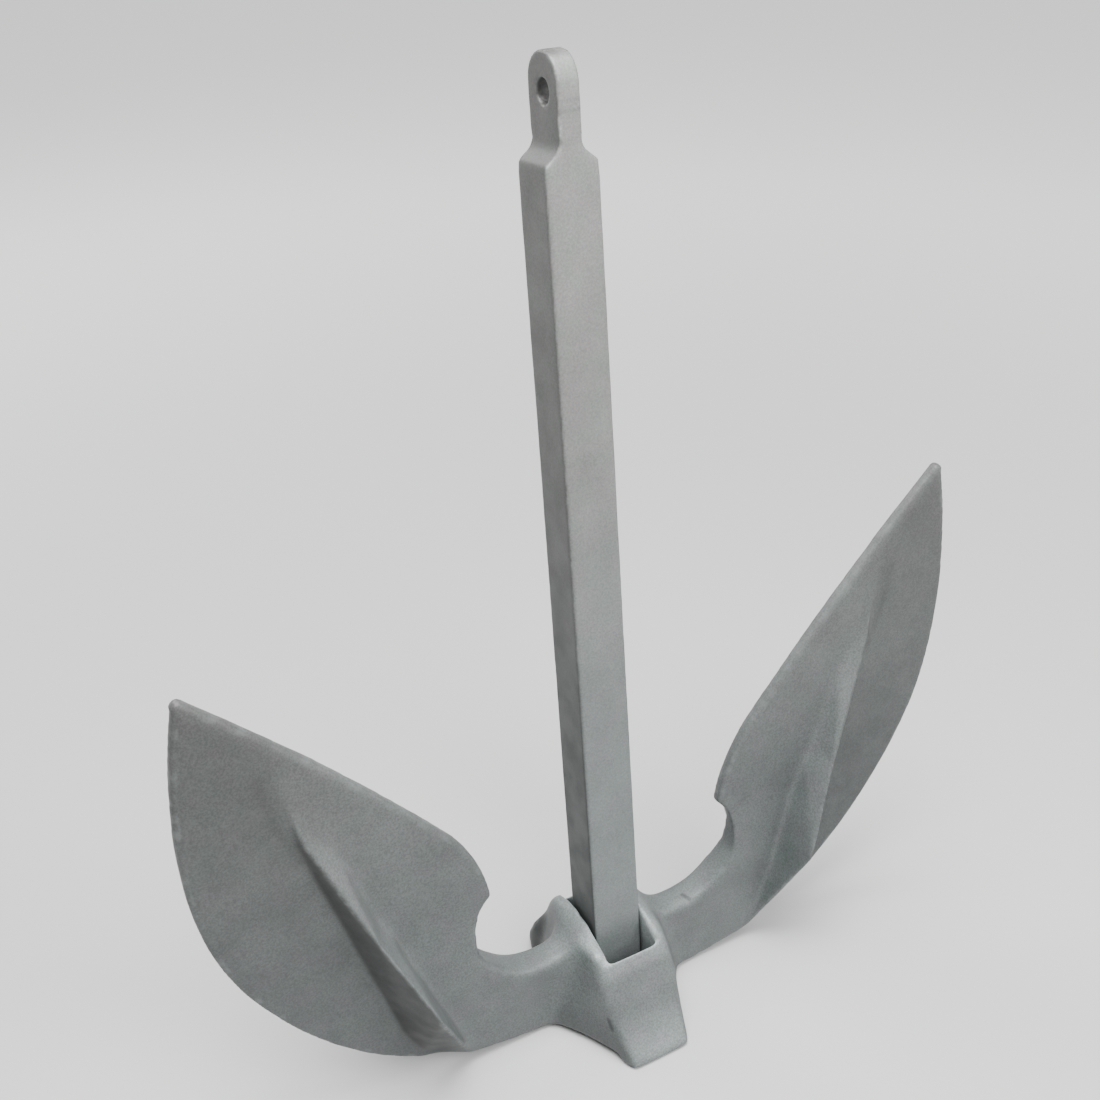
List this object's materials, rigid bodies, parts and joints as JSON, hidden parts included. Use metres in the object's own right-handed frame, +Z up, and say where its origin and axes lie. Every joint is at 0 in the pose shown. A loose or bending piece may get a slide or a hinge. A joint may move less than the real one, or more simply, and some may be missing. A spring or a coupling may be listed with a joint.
{
  "type": "boat anchor",
  "caption": "Stockless boat anchor: cast crown with leaf-shaped ribbed flukes and palm feet, and a tapered square shank with a shackle eye that swings in the crown's slot.",
  "frame": {"origin": "on the floor under the middle of the crown, at the level of the palm feet", "axes": "+Z up from the feet towards the shackle eye, +X along the crown pin towards one fluke, +Y the way the shank leans at rest"},
  "size_m": [0.534, 0.144, 0.6239],
  "materials": {
    "galvanised_casting": "matt hot-dip zinc over a sand casting",
    "galvanised_bar": "matt hot-dip zinc over a forged bar",
    "pin_steel": "turned, greased",
    "keeper_steel": "matt zinc"
  },
  "bodies": {
    "casting": {"fluke_casting": "galvanised_casting", "crown_pin": "pin_steel", "keeper_left": "keeper_steel", "keeper_right": "keeper_steel"},
    "shank": {"shank": "galvanised_bar"}
  },
  "joints": [
    {"name": "shank_swing", "type": "hinge", "parent": "casting", "child": "shank", "pos_m": [0, 0, 0.05], "axis": [1, 0, 0], "range_deg": [-33.5, 43.5]}
  ]
}
